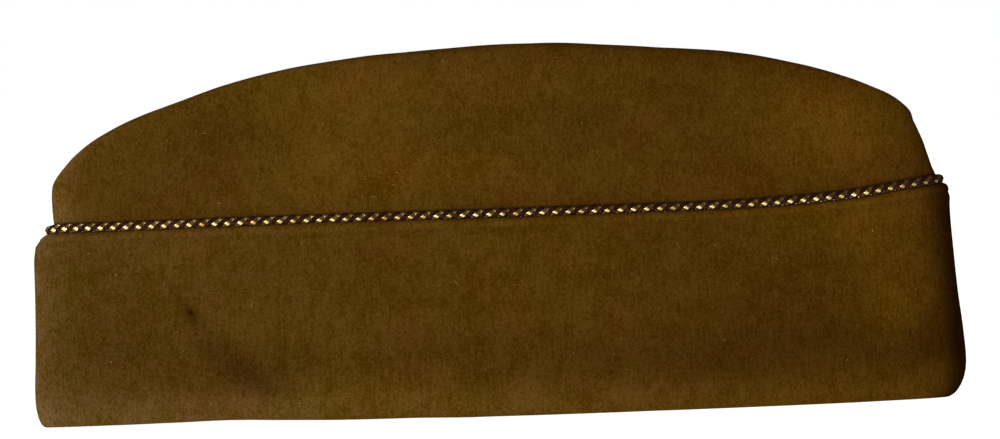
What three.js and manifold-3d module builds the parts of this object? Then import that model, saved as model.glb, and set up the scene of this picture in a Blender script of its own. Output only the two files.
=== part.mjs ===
// Garrison cap of heavy wool, standing on its rim with the head opening down.
// Millimetres. +Z is up and the rim lies on z = 0. X runs along the cap: the front crease is at -X and
// the back crease at +X. The wearer's left side is at -Y. The origin is under the middle of the cap.
//
// The cap is made as the real one is cut and sewn. Two crown halves meet in a seam that runs up the
// front, along the bottom of the crease between the two ridges, and down the back. Two curtain halves
// are turned up outside the crown from the rim, under whose fold the crown's lower edge stands. A cord
// piping runs along the curtain's top edge, in two lengths that end in the curtain's end seams.

import * as THREE from "three";
import { mergeVertices } from "three/addons/utils/BufferGeometryUtils.js";
import Module from "manifold-3d";

const wasm = await Module();
wasm.setup();

// Driving sizes
const capLength = 290.8; // over the curtain, from the front crease to the back crease
const rimWidth = 62; // over the curtain, across the middle of the open rim
const capHeight = 114.6; // from the rim to the top of the ridges
const crownCloth = 2; // wool of the crown with its backing
const curtainCloth = 2.6; // doubled wool of the curtain
const clearance = 0.35; // between pieces that are sewn or laid against each other
const seamGap = 0.3; // between the left and right halves

// Crown
const ridgeSpacing = 16; // between the middles of the two ridge folds
const insideFold = 1; // inside radius of each ridge fold
const creaseDepth = 19; // from the ridges down to the seam between them
const crownBulge = 3; // how far the sides swell past a straight line from rim to ridge
const crownLean = 12.6; // how far the crown's end seams lean in over their height, at most
const flankBend = 0.85; // 1 makes the flanks of the crease straight, and less swells them together

// Curtain
const curtainHeight = 60.6; // from the rim to the curtain's top edge, over most of its length
const curtainRise = 5.8; // how much higher the top edge ends at the back
const curtainLean = 4; // how far the curtain's creases lean in over their height
const curtainStandOff = 0.6; // how far the curtain's top edge stands away from the crown
const rimFold = 2.3; // thickness of the fold under the crown's lower edge
const rimRound = 2.2; // rounding of the fold's outer edge
const cornerReach = { front: 3, back: 7 }; // how far the lower corners are rounded along the rim
const cornerHeight = { front: 9, back: 12 }; // and how far up the creases

// Piping
const pipingDiameter = 3;

// How sharp the plan is at its ends: 0.5 is the round end of an ellipse and 1 is a pointed lens.
const endSharpness = { front: 0.62, back: 0.52 };

// Steps of the surfaces
const columns = 34; // stations along the cap
const sideRows = 9; // rows up a side, closer together near the rim
const rowCrowding = 1.25;
const foldSteps = 3; // facets in each quarter of a ridge fold
const creaseSteps = 3; // facets from a ridge fold down to the seam
const roundingSteps = [0, 0.3, 1]; // rows up the rounding of the rim, as shares of it
const pipingSteps = 84; // stations round the whole piping
const pipingSides = 8;
const weldReach = 1e-4; // points nearer than this are one point

// The ridges seen from the side. along is the share of the way from the front seam's top to the back
// seam's top, and up is the share of capHeight.
const ridgeLine = [
  { along: 0, up: 0.672 },
  { along: 0.008, up: 0.7 },
  { along: 0.022, up: 0.735 },
  { along: 0.047, up: 0.779 },
  { along: 0.088, up: 0.826 },
  { along: 0.142, up: 0.871 },
  { along: 0.2, up: 0.915 },
  { along: 0.283, up: 0.957 },
  { along: 0.39, up: 0.985 },
  { along: 0.5, up: 0.997 },
  { along: 0.57, up: 1 },
  { along: 0.65, up: 0.99 },
  { along: 0.77, up: 0.965 },
  { along: 0.865, up: 0.921 },
  { along: 0.945, up: 0.861 },
  { along: 0.978, up: 0.826 },
  { along: 1, up: 0.79 },
];

// The crown's end seams seen from the side. up is the share of the seam's height, and front and back
// are the shares of crownLean by which the seam stands in from its foot.
const crownEnds = [
  { up: 0, front: 0, back: 0 },
  { up: 0.35, front: 0.19, back: 0.19 },
  { up: 0.55, front: 0.3, back: 0.28 },
  { up: 0.72, front: 0.35, back: 0.31 },
  { up: 0.79, front: 0.37, back: 0.33 },
  { up: 0.83, front: 0.36, back: 0.45 },
  { up: 0.9, front: 0.35, back: 0.62 },
  { up: 0.96, front: 0.36, back: 0.78 },
  { up: 1, front: 0.46, back: 0.94 },
];

// The curtain's creases seen from the side. up is the share of the crease's height, and front and back
// are the shares of curtainLean.
const curtainEnds = [
  { up: 0, front: 0, back: 0 },
  { up: 0.18, front: 0, back: 0.02 },
  { up: 0.33, front: 0.1, back: 0.2 },
  { up: 0.5, front: 0.18, back: 0.5 },
  { up: 0.68, front: 0.22, back: 0.72 },
  { up: 0.85, front: 0.25, back: 0.88 },
  { up: 0.92, front: 0.4, back: 0.9 },
  { up: 0.97, front: 0.75, back: 0.92 },
  { up: 1, front: 1.15, back: 1 },
];

// The curtain's top edge. along is the share of the cap's length from the front, and rise the share of
// curtainRise.
const curtainEdge = [
  { along: 0, rise: 0 },
  { along: 0.7, rise: 0 },
  { along: 0.78, rise: 0.05 },
  { along: 0.85, rise: 0.2 },
  { along: 0.9, rise: 0.38 },
  { along: 0.945, rise: 0.68 },
  { along: 1, rise: 1 },
];

// The pressed hollow low on the left side of the curtain, near the front, where an insignia was pinned.
// along is the share of capLength from the front, up and reachUp are shares of curtainHeight, reach is
// the share of capLength, slant is how far the hollow runs back for each millimetre that it runs down,
// and depth is the share of curtainCloth.
const curtainDents = [
  { side: -1, along: 0.2, up: 0.36, reach: 0.045, reachUp: 0.24, slant: 0.7, depth: 0.35 },
];

// A smooth curve through a table: the slopes are limited, so it never swings past its rows.
function curveThrough(rows, key, value) {
  const at = rows.map((row) => row[key]);
  const out = rows.map((row) => row[value]);
  const chord = at.slice(1).map((a, i) => (out[i + 1] - out[i]) / (a - at[i]));
  const slope = out.map((_, i) => {
    if (i === 0) return chord[0];
    if (i === chord.length) return chord[i - 1];
    const [before, after] = [chord[i - 1], chord[i]];
    return before * after <= 0 ? 0 : (2 * before * after) / (before + after);
  });
  return (x) => {
    const t = THREE.MathUtils.clamp(x, at[0], at[at.length - 1]);
    const i = Math.max(0, at.findIndex((a) => t <= a) - 1);
    const width = at[i + 1] - at[i];
    const u = (t - at[i]) / width;
    const bend = u * u * (3 - 2 * u);
    return (
      out[i] * (1 - bend) +
      out[i + 1] * bend +
      width * (slope[i] * u * (1 - u) * (1 - u) - slope[i + 1] * u * u * (1 - u))
    );
  };
}

const lerp = THREE.MathUtils.lerp;
const ridgeUp = curveThrough(ridgeLine, "along", "up");
const crownFrontLean = curveThrough(crownEnds, "up", "front");
const crownBackLean = curveThrough(crownEnds, "up", "back");
const curtainFrontLean = curveThrough(curtainEnds, "up", "front");
const curtainBackLean = curveThrough(curtainEnds, "up", "back");
const edgeRise = curveThrough(curtainEdge, "along", "rise");

// Share of the length at column i, with the columns crowded towards both ends
const shareAlong = (i, count = columns) => (1 - Math.cos((Math.PI * i) / count)) / 2;

// Half width of the plan at a share of its length, as a share of the half width at its middle
function planShare(along) {
  const sharpness = along < 0.5 ? endSharpness.front : endSharpness.back;
  return Math.max(0, 4 * along * (1 - along)) ** sharpness;
}

// How far the rounded lower corner stands in at height z
function cornerInset(end, z) {
  const left = THREE.MathUtils.clamp(1 - z / cornerHeight[end], 0, 1);
  return cornerReach[end] * (1 - Math.sqrt(1 - left * left));
}

const foldRadius = insideFold + crownCloth; // outside of each ridge fold
const crownSeat = rimFold + clearance; // height of the crown's lower edge
const underCurtain = curtainCloth + clearance; // from the curtain's outside to the crown's outside
const ridgeHeight = (along) => capHeight * ridgeUp(along);
const curtainTop = (along) => curtainHeight + curtainRise * edgeRise(along);

// The crown's outside at a share of the length and a height: x, and the half width y
function crownWall(along, z, grow) {
  const upAt = (share) => (z - crownSeat) / (ridgeHeight(share) - foldRadius - crownSeat);
  const end = capLength / 2 - underCurtain + grow;
  const front = -end + cornerInset("front", z) + crownLean * crownFrontLean(upAt(0));
  const back = end - cornerInset("back", z) - crownLean * crownBackLean(upAt(1));
  const up = THREE.MathUtils.clamp(upAt(along), 0, 1);
  const straight = lerp(rimWidth / 2 - underCurtain, ridgeSpacing / 2 + foldRadius, up);
  const halfWidth = straight + crownBulge * 4 * up * (1 - up) + grow;
  return { x: lerp(front, back, along), y: halfWidth * planShare(along), halfWidth };
}

// The crown as one closed body, grown outwards or, where grow is below zero, inwards. A column runs
// from under the middle, up the side, over the ridge fold and down the flank into the crease.
function crownBody(grow, bottom) {
  const middle = ridgeSpacing / 2;
  const fold = foldRadius + grow;
  const flankSlope = Math.hypot(middle - foldRadius, creaseDepth - foldRadius) / (middle - foldRadius);
  const depth = creaseDepth - grow * (flankSlope - 1);
  const stations = [];
  for (let i = 0; i <= columns; i++) {
    const along = shareAlong(i);
    const wide = planShare(along);
    const top = ridgeHeight(along);
    const points = [];
    for (let j = 0; j <= sideRows; j++) {
      const z = lerp(bottom, top - foldRadius, (j / sideRows) ** rowCrowding);
      const wall = crownWall(along, z, grow);
      if (j === 0) points.push(new THREE.Vector3(wall.x, 0, z));
      points.push(new THREE.Vector3(wall.x, wall.y, z));
    }
    const x = points[points.length - 1].x;
    for (let j = 1; j <= 2 * foldSteps; j++) {
      const angle = (Math.PI / 2) * (j / foldSteps);
      const drop = fold * (1 - Math.sin(angle)) * (j > foldSteps ? wide : 1);
      points.push(new THREE.Vector3(x, (middle + fold * Math.cos(angle)) * wide, top + grow - drop));
    }
    for (let j = 1; j <= creaseSteps; j++) {
      const share = j / creaseSteps;
      const y = (middle - fold) * (1 - share) ** flankBend * wide;
      points.push(new THREE.Vector3(x, y, top + grow - lerp(fold, depth, share) * wide));
    }
    stations.push(points);
  }
  return bodyOfColumns(stations);
}

// The curtain's outside as one closed body, grown as the crown's is, which can run on above its top
function curtainBody(grow, bottom, above) {
  const stations = [];
  for (let i = 0; i <= columns; i++) {
    const along = shareAlong(i);
    const top = curtainTop(along);
    const heights = roundingSteps.map((share) => rimRound * share).filter((z) => z > bottom);
    for (let j = 1; j <= sideRows; j++) {
      heights.push(lerp(rimRound, top, (j / sideRows) ** rowCrowding));
    }
    if (above) heights.push(top + above);
    const points = [bottom, ...heights].map((z) => curtainPoint(along, z, grow));
    const [first, last] = [points[0], points[points.length - 1]];
    const ends = [first, last].map((p) => new THREE.Vector3(p.x, 0, p.z));
    stations.push([ends[0], ...points, ends[1]]);
  }
  return bodyOfColumns(stations);
}

// A point of the curtain's outside
function curtainPoint(along, z, grow) {
  const up = (share) => Math.min(1, Math.max(0, z) / curtainTop(share));
  const end = capLength / 2 + grow;
  const front = -end + cornerInset("front", z) + curtainLean * curtainFrontLean(up(0));
  const back = end - cornerInset("back", z) - curtainLean * curtainBackLean(up(1));
  const low = THREE.MathUtils.clamp(1 - z / rimRound, 0, 1);
  const rounding = rimRound * (1 - Math.sqrt(1 - low * low));
  const crown = crownWall(along, Math.max(z, crownSeat), 0).halfWidth;
  const halfWidth = crown + underCurtain + curtainStandOff * up(along) - rounding + grow;
  return new THREE.Vector3(lerp(front, back, along), halfWidth * planShare(along), z);
}

// Closes a body round columns of points that start and end on y = 0, and mirrors it across y = 0
function bodyOfColumns(stations) {
  const positions = [];
  const quad = (a, b, c, d) => {
    for (const p of [a, b, c, a, c, d]) positions.push(p.x, p.y, p.z);
  };
  const mirrored = (p) => new THREE.Vector3(p.x, -p.y, p.z);
  for (let i = 0; i + 1 < stations.length; i++) {
    for (let j = 0; j + 1 < stations[i].length; j++) {
      const [a, b] = [stations[i][j], stations[i + 1][j]];
      const [c, d] = [stations[i + 1][j + 1], stations[i][j + 1]];
      quad(d, c, b, a);
      quad(...[a, b, c, d].map(mirrored));
    }
  }
  return solidOf(geometryFrom(positions));
}

function geometryFrom(positions) {
  const geometry = new THREE.BufferGeometry();
  return geometry.setAttribute("position", new THREE.Float32BufferAttribute(positions, 3));
}

// A closed geometry as a solid that can be joined and cut
function solidOf(geometry) {
  const bare = geometry.clone();
  for (const name of Object.keys(bare.attributes)) {
    if (name !== "position") bare.deleteAttribute(name);
  }
  const merged = mergeVertices(bare, weldReach);
  const kept = [];
  const index = merged.index.array;
  for (let i = 0; i < index.length; i += 3) {
    const [a, b, c] = [index[i], index[i + 1], index[i + 2]];
    if (a !== b && b !== c && c !== a) kept.push(a, b, c);
  }
  return new wasm.Manifold(
    new wasm.Mesh({
      numProp: 3,
      vertProperties: merged.attributes.position.array,
      triVerts: new Uint32Array(kept),
    }),
  );
}

function geometryOf(solid) {
  const mesh = solid.getMesh();
  const geometry = new THREE.BufferGeometry();
  geometry.setAttribute("position", new THREE.BufferAttribute(new Float32Array(mesh.vertProperties), 3));
  geometry.setIndex(new THREE.BufferAttribute(new Uint32Array(mesh.triVerts), 1));
  return geometry;
}

// One side of the cap: everything past the seam between the halves, to the left (-1) or right (+1)
function halfOf(solid, side) {
  const reach = 2 * capLength;
  const block = new THREE.BoxGeometry(reach, reach, reach);
  block.translate(0, side * (reach / 2 + seamGap / 2), 0);
  return solid.intersect(solidOf(block));
}

// Lowers a solid's outside where a dent is pressed into it
function dented(geometry, side) {
  const at = geometry.getAttribute("position");
  for (const dent of curtainDents.filter((row) => row.side === side)) {
    for (let i = 0; i < at.count; i++) {
      const [x, y, z] = [at.getX(i), at.getY(i), at.getZ(i)];
      const down = curtainHeight * dent.up - z;
      const along = x + capLength * (0.5 - dent.along) - dent.slant * down;
      const off = (along / (capLength * dent.reach)) ** 2 + (down / (curtainHeight * dent.reachUp)) ** 2;
      const outside = Math.abs(y) - crownWall((x + capLength / 2) / capLength, z, 0).y - clearance;
      const depth = dent.depth * Math.max(0, outside) * Math.exp(-2 * off);
      if (off < 3) at.setY(i, y - side * depth);
    }
  }
  return geometry;
}

// The piping's centre line, in the corner between the curtain's top edge and the crown
function pipingLine() {
  const radius = pipingDiameter / 2;
  const wallAt = (turn) => {
    const along = (1 - Math.cos(turn)) / 2;
    const z = curtainTop(along) + clearance + radius;
    const wall = crownWall(along, z, 0);
    return new THREE.Vector3(wall.x, Math.sign(Math.sin(turn)) * wall.y, z);
  };
  const line = [];
  for (let i = 0; i < pipingSteps; i++) {
    const turn = (2 * Math.PI * i) / pipingSteps;
    const near = Math.PI / (10 * pipingSteps);
    const ahead = wallAt(turn + near).sub(wallAt(turn - near)).setZ(0).normalize();
    const outwards = new THREE.Vector3(-ahead.y, ahead.x, 0);
    line.push(wallAt(turn).addScaledVector(outwards, clearance + radius));
  }
  return line;
}

// A round cord along a closed line
function closedCord(line, diameter) {
  const positions = [];
  const upwards = new THREE.Vector3(0, 0, 1);
  const rings = line.map((point, i) => {
    const before = line[(i + line.length - 1) % line.length];
    const after = line[(i + 1) % line.length];
    const ahead = new THREE.Vector3().subVectors(after, before);
    const across = ahead.cross(upwards).normalize();
    const ring = [];
    for (let k = 0; k < pipingSides; k++) {
      const angle = (2 * Math.PI * (k + 0.5)) / pipingSides;
      const corner = point.clone().addScaledVector(across, (diameter / 2) * Math.cos(angle));
      ring.push(corner.addScaledVector(upwards, (diameter / 2) * Math.sin(angle)));
    }
    return ring;
  });
  rings.forEach((ring, i) => {
    const next = rings[(i + 1) % rings.length];
    ring.forEach((a, k) => {
      const [b, c, d] = [next[k], next[(k + 1) % pipingSides], ring[(k + 1) % pipingSides]];
      for (const p of [a, b, c, a, c, d]) positions.push(p.x, p.y, p.z);
    });
  });
  return solidOf(geometryFrom(positions));
}

// Solids. A cutting body runs on past the face that it opens.
const runOn = 5;
const headHollow = crownBody(-crownCloth, -runOn);
const crown = crownBody(0, crownSeat).subtract(headHollow);
const curtain = curtainBody(0, 0, 0)
  .subtract(curtainBody(-curtainCloth, rimFold, runOn))
  .subtract(crownBody(clearance, rimFold))
  .subtract(headHollow);
const piping = closedCord(pipingLine(), pipingDiameter);

// Materials
const wool = new THREE.MeshStandardMaterial({ color: 0x51370f, roughness: 0.95, metalness: 0 });
const bullionCord = new THREE.MeshStandardMaterial({ color: 0x6b5426, roughness: 0.45, metalness: 0.6 });

const cap = new THREE.Group();
for (const [side, hand] of [[-1, "left"], [1, "right"]]) {
  const pieces = {
    crown: new THREE.Mesh(geometryOf(halfOf(crown, side)), wool),
    curtain: new THREE.Mesh(dented(geometryOf(halfOf(curtain, side)), side), wool),
    piping: new THREE.Mesh(geometryOf(halfOf(piping, side)), bullionCord),
  };
  for (const [name, mesh] of Object.entries(pieces)) {
    mesh.name = `${name}_${hand}`;
    cap.add(mesh);
  }
}

export default cap;
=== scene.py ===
import math

import bpy
import numpy as np
from mathutils import Matrix, Vector, noise


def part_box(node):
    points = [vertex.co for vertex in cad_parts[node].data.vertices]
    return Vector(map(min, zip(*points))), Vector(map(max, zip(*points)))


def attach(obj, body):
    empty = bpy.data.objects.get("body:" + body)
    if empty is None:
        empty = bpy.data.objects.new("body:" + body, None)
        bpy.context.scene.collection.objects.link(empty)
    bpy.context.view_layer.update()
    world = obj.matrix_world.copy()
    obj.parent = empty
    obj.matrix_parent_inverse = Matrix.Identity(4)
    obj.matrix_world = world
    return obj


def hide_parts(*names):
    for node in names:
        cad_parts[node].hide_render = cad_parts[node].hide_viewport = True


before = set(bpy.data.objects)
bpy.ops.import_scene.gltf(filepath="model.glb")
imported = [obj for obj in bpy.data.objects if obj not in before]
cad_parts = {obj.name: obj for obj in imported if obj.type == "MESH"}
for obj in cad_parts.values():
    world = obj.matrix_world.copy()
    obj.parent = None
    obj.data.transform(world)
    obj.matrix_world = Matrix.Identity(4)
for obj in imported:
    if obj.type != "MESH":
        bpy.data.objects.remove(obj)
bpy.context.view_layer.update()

MM = 0.001

# Crown halves. Two panels of heavy wool run from the rim up each side, fold over along the ridges and
# fall into the crease, where they are sewn to each other, as they are up the front and down the back.
# The cloth is 2 mm thick with its backing, and pressed, so its folds are soft but hold their line.
curtain_box = [np.array(corner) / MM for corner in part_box("curtain_left")]
crown_box = [np.array(corner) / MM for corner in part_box("crown_left")]
CAP_LENGTH = curtain_box[1][0] - curtain_box[0][0]
CAP_HEIGHT = crown_box[1][2]
HALF_RIM = -curtain_box[0][1]
CROWN_SEAT = crown_box[0][2]
CLEARANCE = 0.35
SEAM_GAP = 0.002  # the halves all but touch, so that no light shows through a seam
CROWN_CLOTH = 2.0
CURTAIN_CLOTH = 2.6
UNDER_CURTAIN = CURTAIN_CLOTH + CLEARANCE
RIDGE_FROM_MIDDLE = 8.0
FOLD_RADIUS = 3.0
CREASE_DEPTH = 19.0
CROWN_BULGE = 3.0
CROWN_LEAN = 12.6
SEAM_FULLNESS = 0.3  # how far the cloth beside an end seam stands out past the seam
CORNERS = {"front": (3.0, 9.0), "back": (7.0, 12.0)}
SHARPNESS = {"front": 0.62, "back": 0.52}

# The ridge seen from the side: the share of the way along the crown, and of the cap's height.
RIDGE_LINE = [
    (0, 0.656), (0.006, 0.679), (0.0125, 0.698), (0.027, 0.733), (0.052, 0.776), (0.092, 0.823),
    (0.145, 0.868), (0.203, 0.912), (0.285, 0.956), (0.391, 0.985), (0.5, 0.997), (0.57, 1),
    (0.65, 0.99), (0.77, 0.966), (0.865, 0.923), (0.93, 0.874), (0.952, 0.852), (0.976, 0.827),
    (0.988, 0.811), (1, 0.784),
]

# The end seams seen from the side: the share of the seam's height, and of the lean.
CROWN_FRONT = [
    (0, 0), (0.37, 0.19), (0.575, 0.3), (0.755, 0.35), (0.835, 0.37), (0.9, 0.35), (0.985, 0.33),
    (1, 0.335),
]
CROWN_BACK = [
    (0, 0), (0.35, 0.19), (0.55, 0.28), (0.72, 0.31), (0.79, 0.36), (0.83, 0.465), (0.9, 0.605),
    (0.96, 0.75), (1, 0.88),
]
TIP_ROUND = {"front": 0.9, "back": 1.9}  # how far each tip leans in over its fold
TIP_REACH = 7.0

# The curtain's top edge: the share of the way along, and of its rise towards the back.
CURTAIN_HEIGHT = 60.6
CURTAIN_RISE = 5.8
CURTAIN_EDGE = [
    (0, -0.07), (0.12, -0.05), (0.3, 0), (0.7, 0), (0.78, 0.05), (0.85, 0.2), (0.9, 0.38), (0.945, 0.68),
    (1, 1),
]
PIPING_DIAMETER = 3.0


def curve_through(rows):
    """A smooth curve through rows of (at, value) that never swings past its rows."""
    at, value = np.array(rows, float).T
    chord = np.diff(value) / np.diff(at)
    slope = np.zeros_like(value)
    slope[0], slope[-1] = chord[0], chord[-1]
    both = chord[:-1] * chord[1:] > 0
    safe = np.where(both, chord[:-1] + chord[1:], 1)
    slope[1:-1] = np.where(both, 2 * chord[:-1] * chord[1:] / safe, 0)

    def curve(x):
        x = np.clip(x, at[0], at[-1])
        i = np.clip(np.searchsorted(at, x) - 1, 0, len(at) - 2)
        width = at[i + 1] - at[i]
        u = (x - at[i]) / width
        bend = u * u * (3 - 2 * u)
        swing = slope[i] * u * (1 - u) ** 2 - slope[i + 1] * u * u * (1 - u)
        return value[i] * (1 - bend) + value[i + 1] * bend + width * swing

    return curve


ridge_share = curve_through(RIDGE_LINE)
crown_front = curve_through(CROWN_FRONT)
crown_back = curve_through(CROWN_BACK)
edge_rise = curve_through(CURTAIN_EDGE)


def bell(away, reach):
    """One in the middle, and almost nothing past twice the reach."""
    return np.exp(-((away / reach) ** 2))


def curtain_top(along):
    return CURTAIN_HEIGHT + CURTAIN_RISE * edge_rise(along)


def plan_share(along):
    sharp = np.where(along < 0.5, SHARPNESS["front"], SHARPNESS["back"])
    return np.maximum(0, 4 * along * (1 - along)) ** sharp


def corner_inset(end, z):
    reach, height = CORNERS[end]
    left = np.clip(1 - z / height, 0, 1)
    return reach * (1 - np.sqrt(1 - left * left))


def crown_wall(along, z, grow):
    """The crown's outside, grown outwards by grow: x, the half width y, and y before the plan's share."""
    def up_at(share):
        return (z - CROWN_SEAT) / (CAP_HEIGHT * ridge_share(share) - FOLD_RADIUS - CROWN_SEAT)
    end = CAP_LENGTH / 2 - UNDER_CURTAIN + SEAM_FULLNESS + grow
    front = -end + corner_inset("front", z) + CROWN_LEAN * crown_front(up_at(0.0))
    back = end - corner_inset("back", z) - CROWN_LEAN * crown_back(up_at(1.0))
    up = np.clip(up_at(along), 0, 1)
    straight = (HALF_RIM - UNDER_CURTAIN) * (1 - up) + (RIDGE_FROM_MIDDLE + FOLD_RADIUS) * up
    half_width = straight + CROWN_BULGE * 4 * up * (1 - up) + grow
    return front + (back - front) * along, half_width * plan_share(along), half_width


COLUMNS = 250
STATIONS = (1 - np.cos(np.linspace(0, np.pi, COLUMNS))) / 2  # crowded towards both creases
HIDDEN_ROWS = 22  # rows up the side, under the curtain, beside the piping and above it
PIPING_ROWS = 18
OPEN_ROWS = 46
SIDE_ROWS = 1 + HIDDEN_ROWS + PIPING_ROWS + OPEN_ROWS
FOLD_ROWS = 22
FLANK_ROWS = 18
PIPING_BAND = (1.0, 7.0)  # how far above the curtain's edge the rows beside the piping lie
FLANK_CURVE = 0.85  # below one, so that a flank falls steeper at first and then turns to the crease
LEAST_SPREAD = 0.012  # the flank's share of its depth that is left where it runs out at a crease
SEAM_TURN = 0.05  # the plan's share within which the way out turns into a seam's own plane
TINY = 1e-9


def crown_surface(grow):
    """A grid of points up the side, over the ridge and down the flank, for the side towards -Y."""
    along = STATIONS[:, None]
    wide = plan_share(along)
    deep = np.maximum(wide, LEAST_SPREAD)
    top = CAP_HEIGHT * ridge_share(along)
    edge = curtain_top(along)
    levels = [CROWN_SEAT, edge + PIPING_BAND[0], edge + PIPING_BAND[1], top - FOLD_RADIUS]
    z = np.full_like(along, CROWN_SEAT)
    for low, high, count in zip(levels, levels[1:], (HIDDEN_ROWS, PIPING_ROWS, OPEN_ROWS)):
        z = np.concatenate([z, low + (high - low) * np.linspace(0, 1, count + 1)[None, 1:]], axis=1)
    x, y, _ = crown_wall(along, z, grow)
    fold = FOLD_RADIUS + grow
    angle = (np.pi * np.arange(1, FOLD_ROWS + 1) / FOLD_ROWS)[None, :]
    drop = fold * (1 - np.sin(angle)) * np.where(angle > np.pi / 2, deep, 1)
    fold_y = (RIDGE_FROM_MIDDLE + fold * np.cos(angle)) * wide
    share = (np.arange(1, FLANK_ROWS + 1) / FLANK_ROWS)[None, :]
    run = RIDGE_FROM_MIDDLE - FOLD_RADIUS
    slope = math.hypot(run, CREASE_DEPTH - FOLD_RADIUS) / run
    depth = CREASE_DEPTH - grow * (slope - 1)
    flank_y = (RIDGE_FROM_MIDDLE - fold) * (1 - share) ** FLANK_CURVE * wide
    flank_z = top + grow - (fold + (depth - fold) * share) * deep
    ys = np.concatenate([y, fold_y, flank_y], axis=1)
    zs = np.concatenate([z, top + grow - drop, flank_z], axis=1)
    over = np.concatenate([1 - np.cos(np.minimum(angle, np.pi / 2)), np.ones_like(share)], axis=1)
    lean = np.zeros_like(along)
    for end, inwards, from_end in (("front", 1, along), ("back", -1, 1 - along)):
        lean += inwards * TIP_ROUND[end] * bell(CAP_LENGTH * from_end, TIP_REACH)
    xs = np.concatenate([x, x[:, -1:] + lean * over], axis=1)
    return np.stack([xs, -SEAM_GAP / 2 - ys, zs], axis=2)


def softened(grid, passes):
    """Rounds the lines where one stretch of a surface runs into the next."""
    for _ in range(passes):
        grid[:, 1:-1] = (grid[:, :-2] + 2 * grid[:, 1:-1] + grid[:, 2:]) / 4
    return grid


def outward_ways(grid, rows_too):
    """The way out of the cloth at each point, turned into the seam's own plane close to a seam."""
    normal = np.cross(np.gradient(grid, axis=0), np.gradient(grid, axis=1))
    normal /= np.maximum(np.linalg.norm(normal, axis=2, keepdims=True), TINY)
    at_end = np.sign(STATIONS - 0.5)[:, None] * np.ones(grid.shape[1])
    rising = np.zeros_like(at_end)
    if rows_too:
        rising += np.clip((np.arange(grid.shape[1]) - SIDE_ROWS) / FOLD_ROWS + 0.5, 0, 1)
    end_way = np.stack([at_end, np.zeros_like(at_end), rising], axis=2)
    end_way /= np.linalg.norm(end_way, axis=2, keepdims=True)
    near = bell(plan_share(STATIONS), SEAM_TURN)[:, None, None]
    way = normal * (1 - near) + end_way * near
    if rows_too:
        way[:, -1, 1] = 0
    return way / np.maximum(np.linalg.norm(way, axis=2, keepdims=True), TINY)


def seam_distance(grid, rows_too):
    """How far each point lies from the nearest seam, along the cloth."""
    steps = np.linalg.norm(np.diff(grid, axis=0), axis=2)
    front = np.concatenate([np.zeros((1, grid.shape[1])), np.cumsum(steps, axis=0)])
    nearest = np.minimum(front, front[-1:] - front)
    if rows_too:
        up_steps = np.linalg.norm(np.diff(grid, axis=1), axis=2)
        up = np.concatenate([np.zeros((grid.shape[0], 1)), np.cumsum(up_steps, axis=1)], axis=1)
        nearest = np.minimum(nearest, up[:, -1:] - up)
    return nearest


SEED_STEPS = (17.3, 5.1, 9.7)  # what sets the waves of one seed apart from the next one's


def waves(grid, period, seed):
    """Slow swells of the cloth, from -1 to 1."""
    shift = Vector([seed * step for step in SEED_STEPS])
    flat = [noise.noise(Vector(p) / period + shift) for p in grid.reshape(-1, 3)]
    return np.array(flat).reshape(grid.shape[:2])


def cloth_piece(name, points, faces, marks):
    """A smooth piece, with its marks of tone and of painted light and shade kept on its points for the
    material.
    """
    mesh = bpy.data.meshes.new(name)
    mesh.from_pydata(points.tolist(), [], faces)
    mesh.validate()
    for key, value in marks.items():
        layer = mesh.attributes.new(key, "FLOAT", "POINT")
        layer.data.foreach_set("value", np.asarray(value, np.float32))
    mesh.polygons.foreach_set("use_smooth", np.ones(len(mesh.polygons), bool))
    piece = bpy.data.objects.new(name, mesh)
    bpy.context.collection.objects.link(piece)
    return piece


def closed_sheet(name, outside, inside, marks):
    """A sheet with thickness from two grids of the same shape, with the cloth's cut edges closed."""
    columns, rows = outside.shape[:2]
    points = np.concatenate([outside.reshape(-1, 3), inside.reshape(-1, 3)]) * MM
    at = np.arange(columns * rows).reshape(columns, rows)
    under = at + columns * rows
    faces = []
    for corners in (
        (at[:-1, :-1], at[1:, :-1], at[1:, 1:], at[:-1, 1:]),
        (under[:-1, 1:], under[1:, 1:], under[1:, :-1], under[:-1, :-1]),
        (at[1:, 0], at[:-1, 0], under[:-1, 0], under[1:, 0]),
        (at[:-1, -1], at[1:, -1], under[1:, -1], under[:-1, -1]),
        (at[0, :-1], at[0, 1:], under[0, 1:], under[0, :-1]),
        (at[-1, 1:], at[-1, :-1], under[-1, :-1], under[-1, 1:]),
    ):
        faces.extend(np.stack(corners, axis=-1).reshape(-1, 4).tolist())
    both = {key: np.concatenate([value.reshape(-1)] * 2) for key, value in marks.items()}
    return cloth_piece(name, points, faces, both)


def turned_to(hand, grid):
    """A grid made for the left side, kept there or set on the wearer's right side."""
    if hand == "left":
        return grid
    return (grid * np.array([1, -1, 1]))[::-1] if grid.ndim == 3 else grid[::-1]


# Relief beside a seam: its height or depth, its middle's distance from the seam, and its reach.
SEAM_GROOVE = (0.5, 0.0, 0.8)
SEAM_ROLL = (0.12, 2.4, 1.3)


def seam_relief(seam):
    """The cloth drawn in at a seam, and the slight roll of its turned edges beside it."""
    (deep, groove_at, groove_reach), (high, roll_at, roll_reach) = SEAM_GROOVE, SEAM_ROLL
    return high * bell(seam - roll_at, roll_reach) - deep * bell(seam - groove_at, groove_reach)


# Where the left half of the crown is lighter or, below zero, darker, partly in the cloth's own tone and
# partly
# as painted highlights and painted shade: along X and up, reach each way, and how much.
CROWN_TONE_AND_LIGHT_ZONES = [
    (-86.0, 90.0, 14.0, 10.0, -0.16), (-47.0, 82.0, 18.0, 22.0, 0.24), (-30.0, 102.0, 70.0, 9.0, 0.17),
    (62.0, 94.0, 10.0, 16.0, -0.1), (106.0, 86.0, 18.0, 15.0, 0.5), (-108.0, 76.0, 26.0, 12.0, -0.1),
    (-14.0, 76.0, 34.0, 9.0, 0.22), (-42.0, 78.0, 6.0, 12.0, -0.16), (26.0, 88.0, 14.0, 10.0, -0.14),
]


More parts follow.
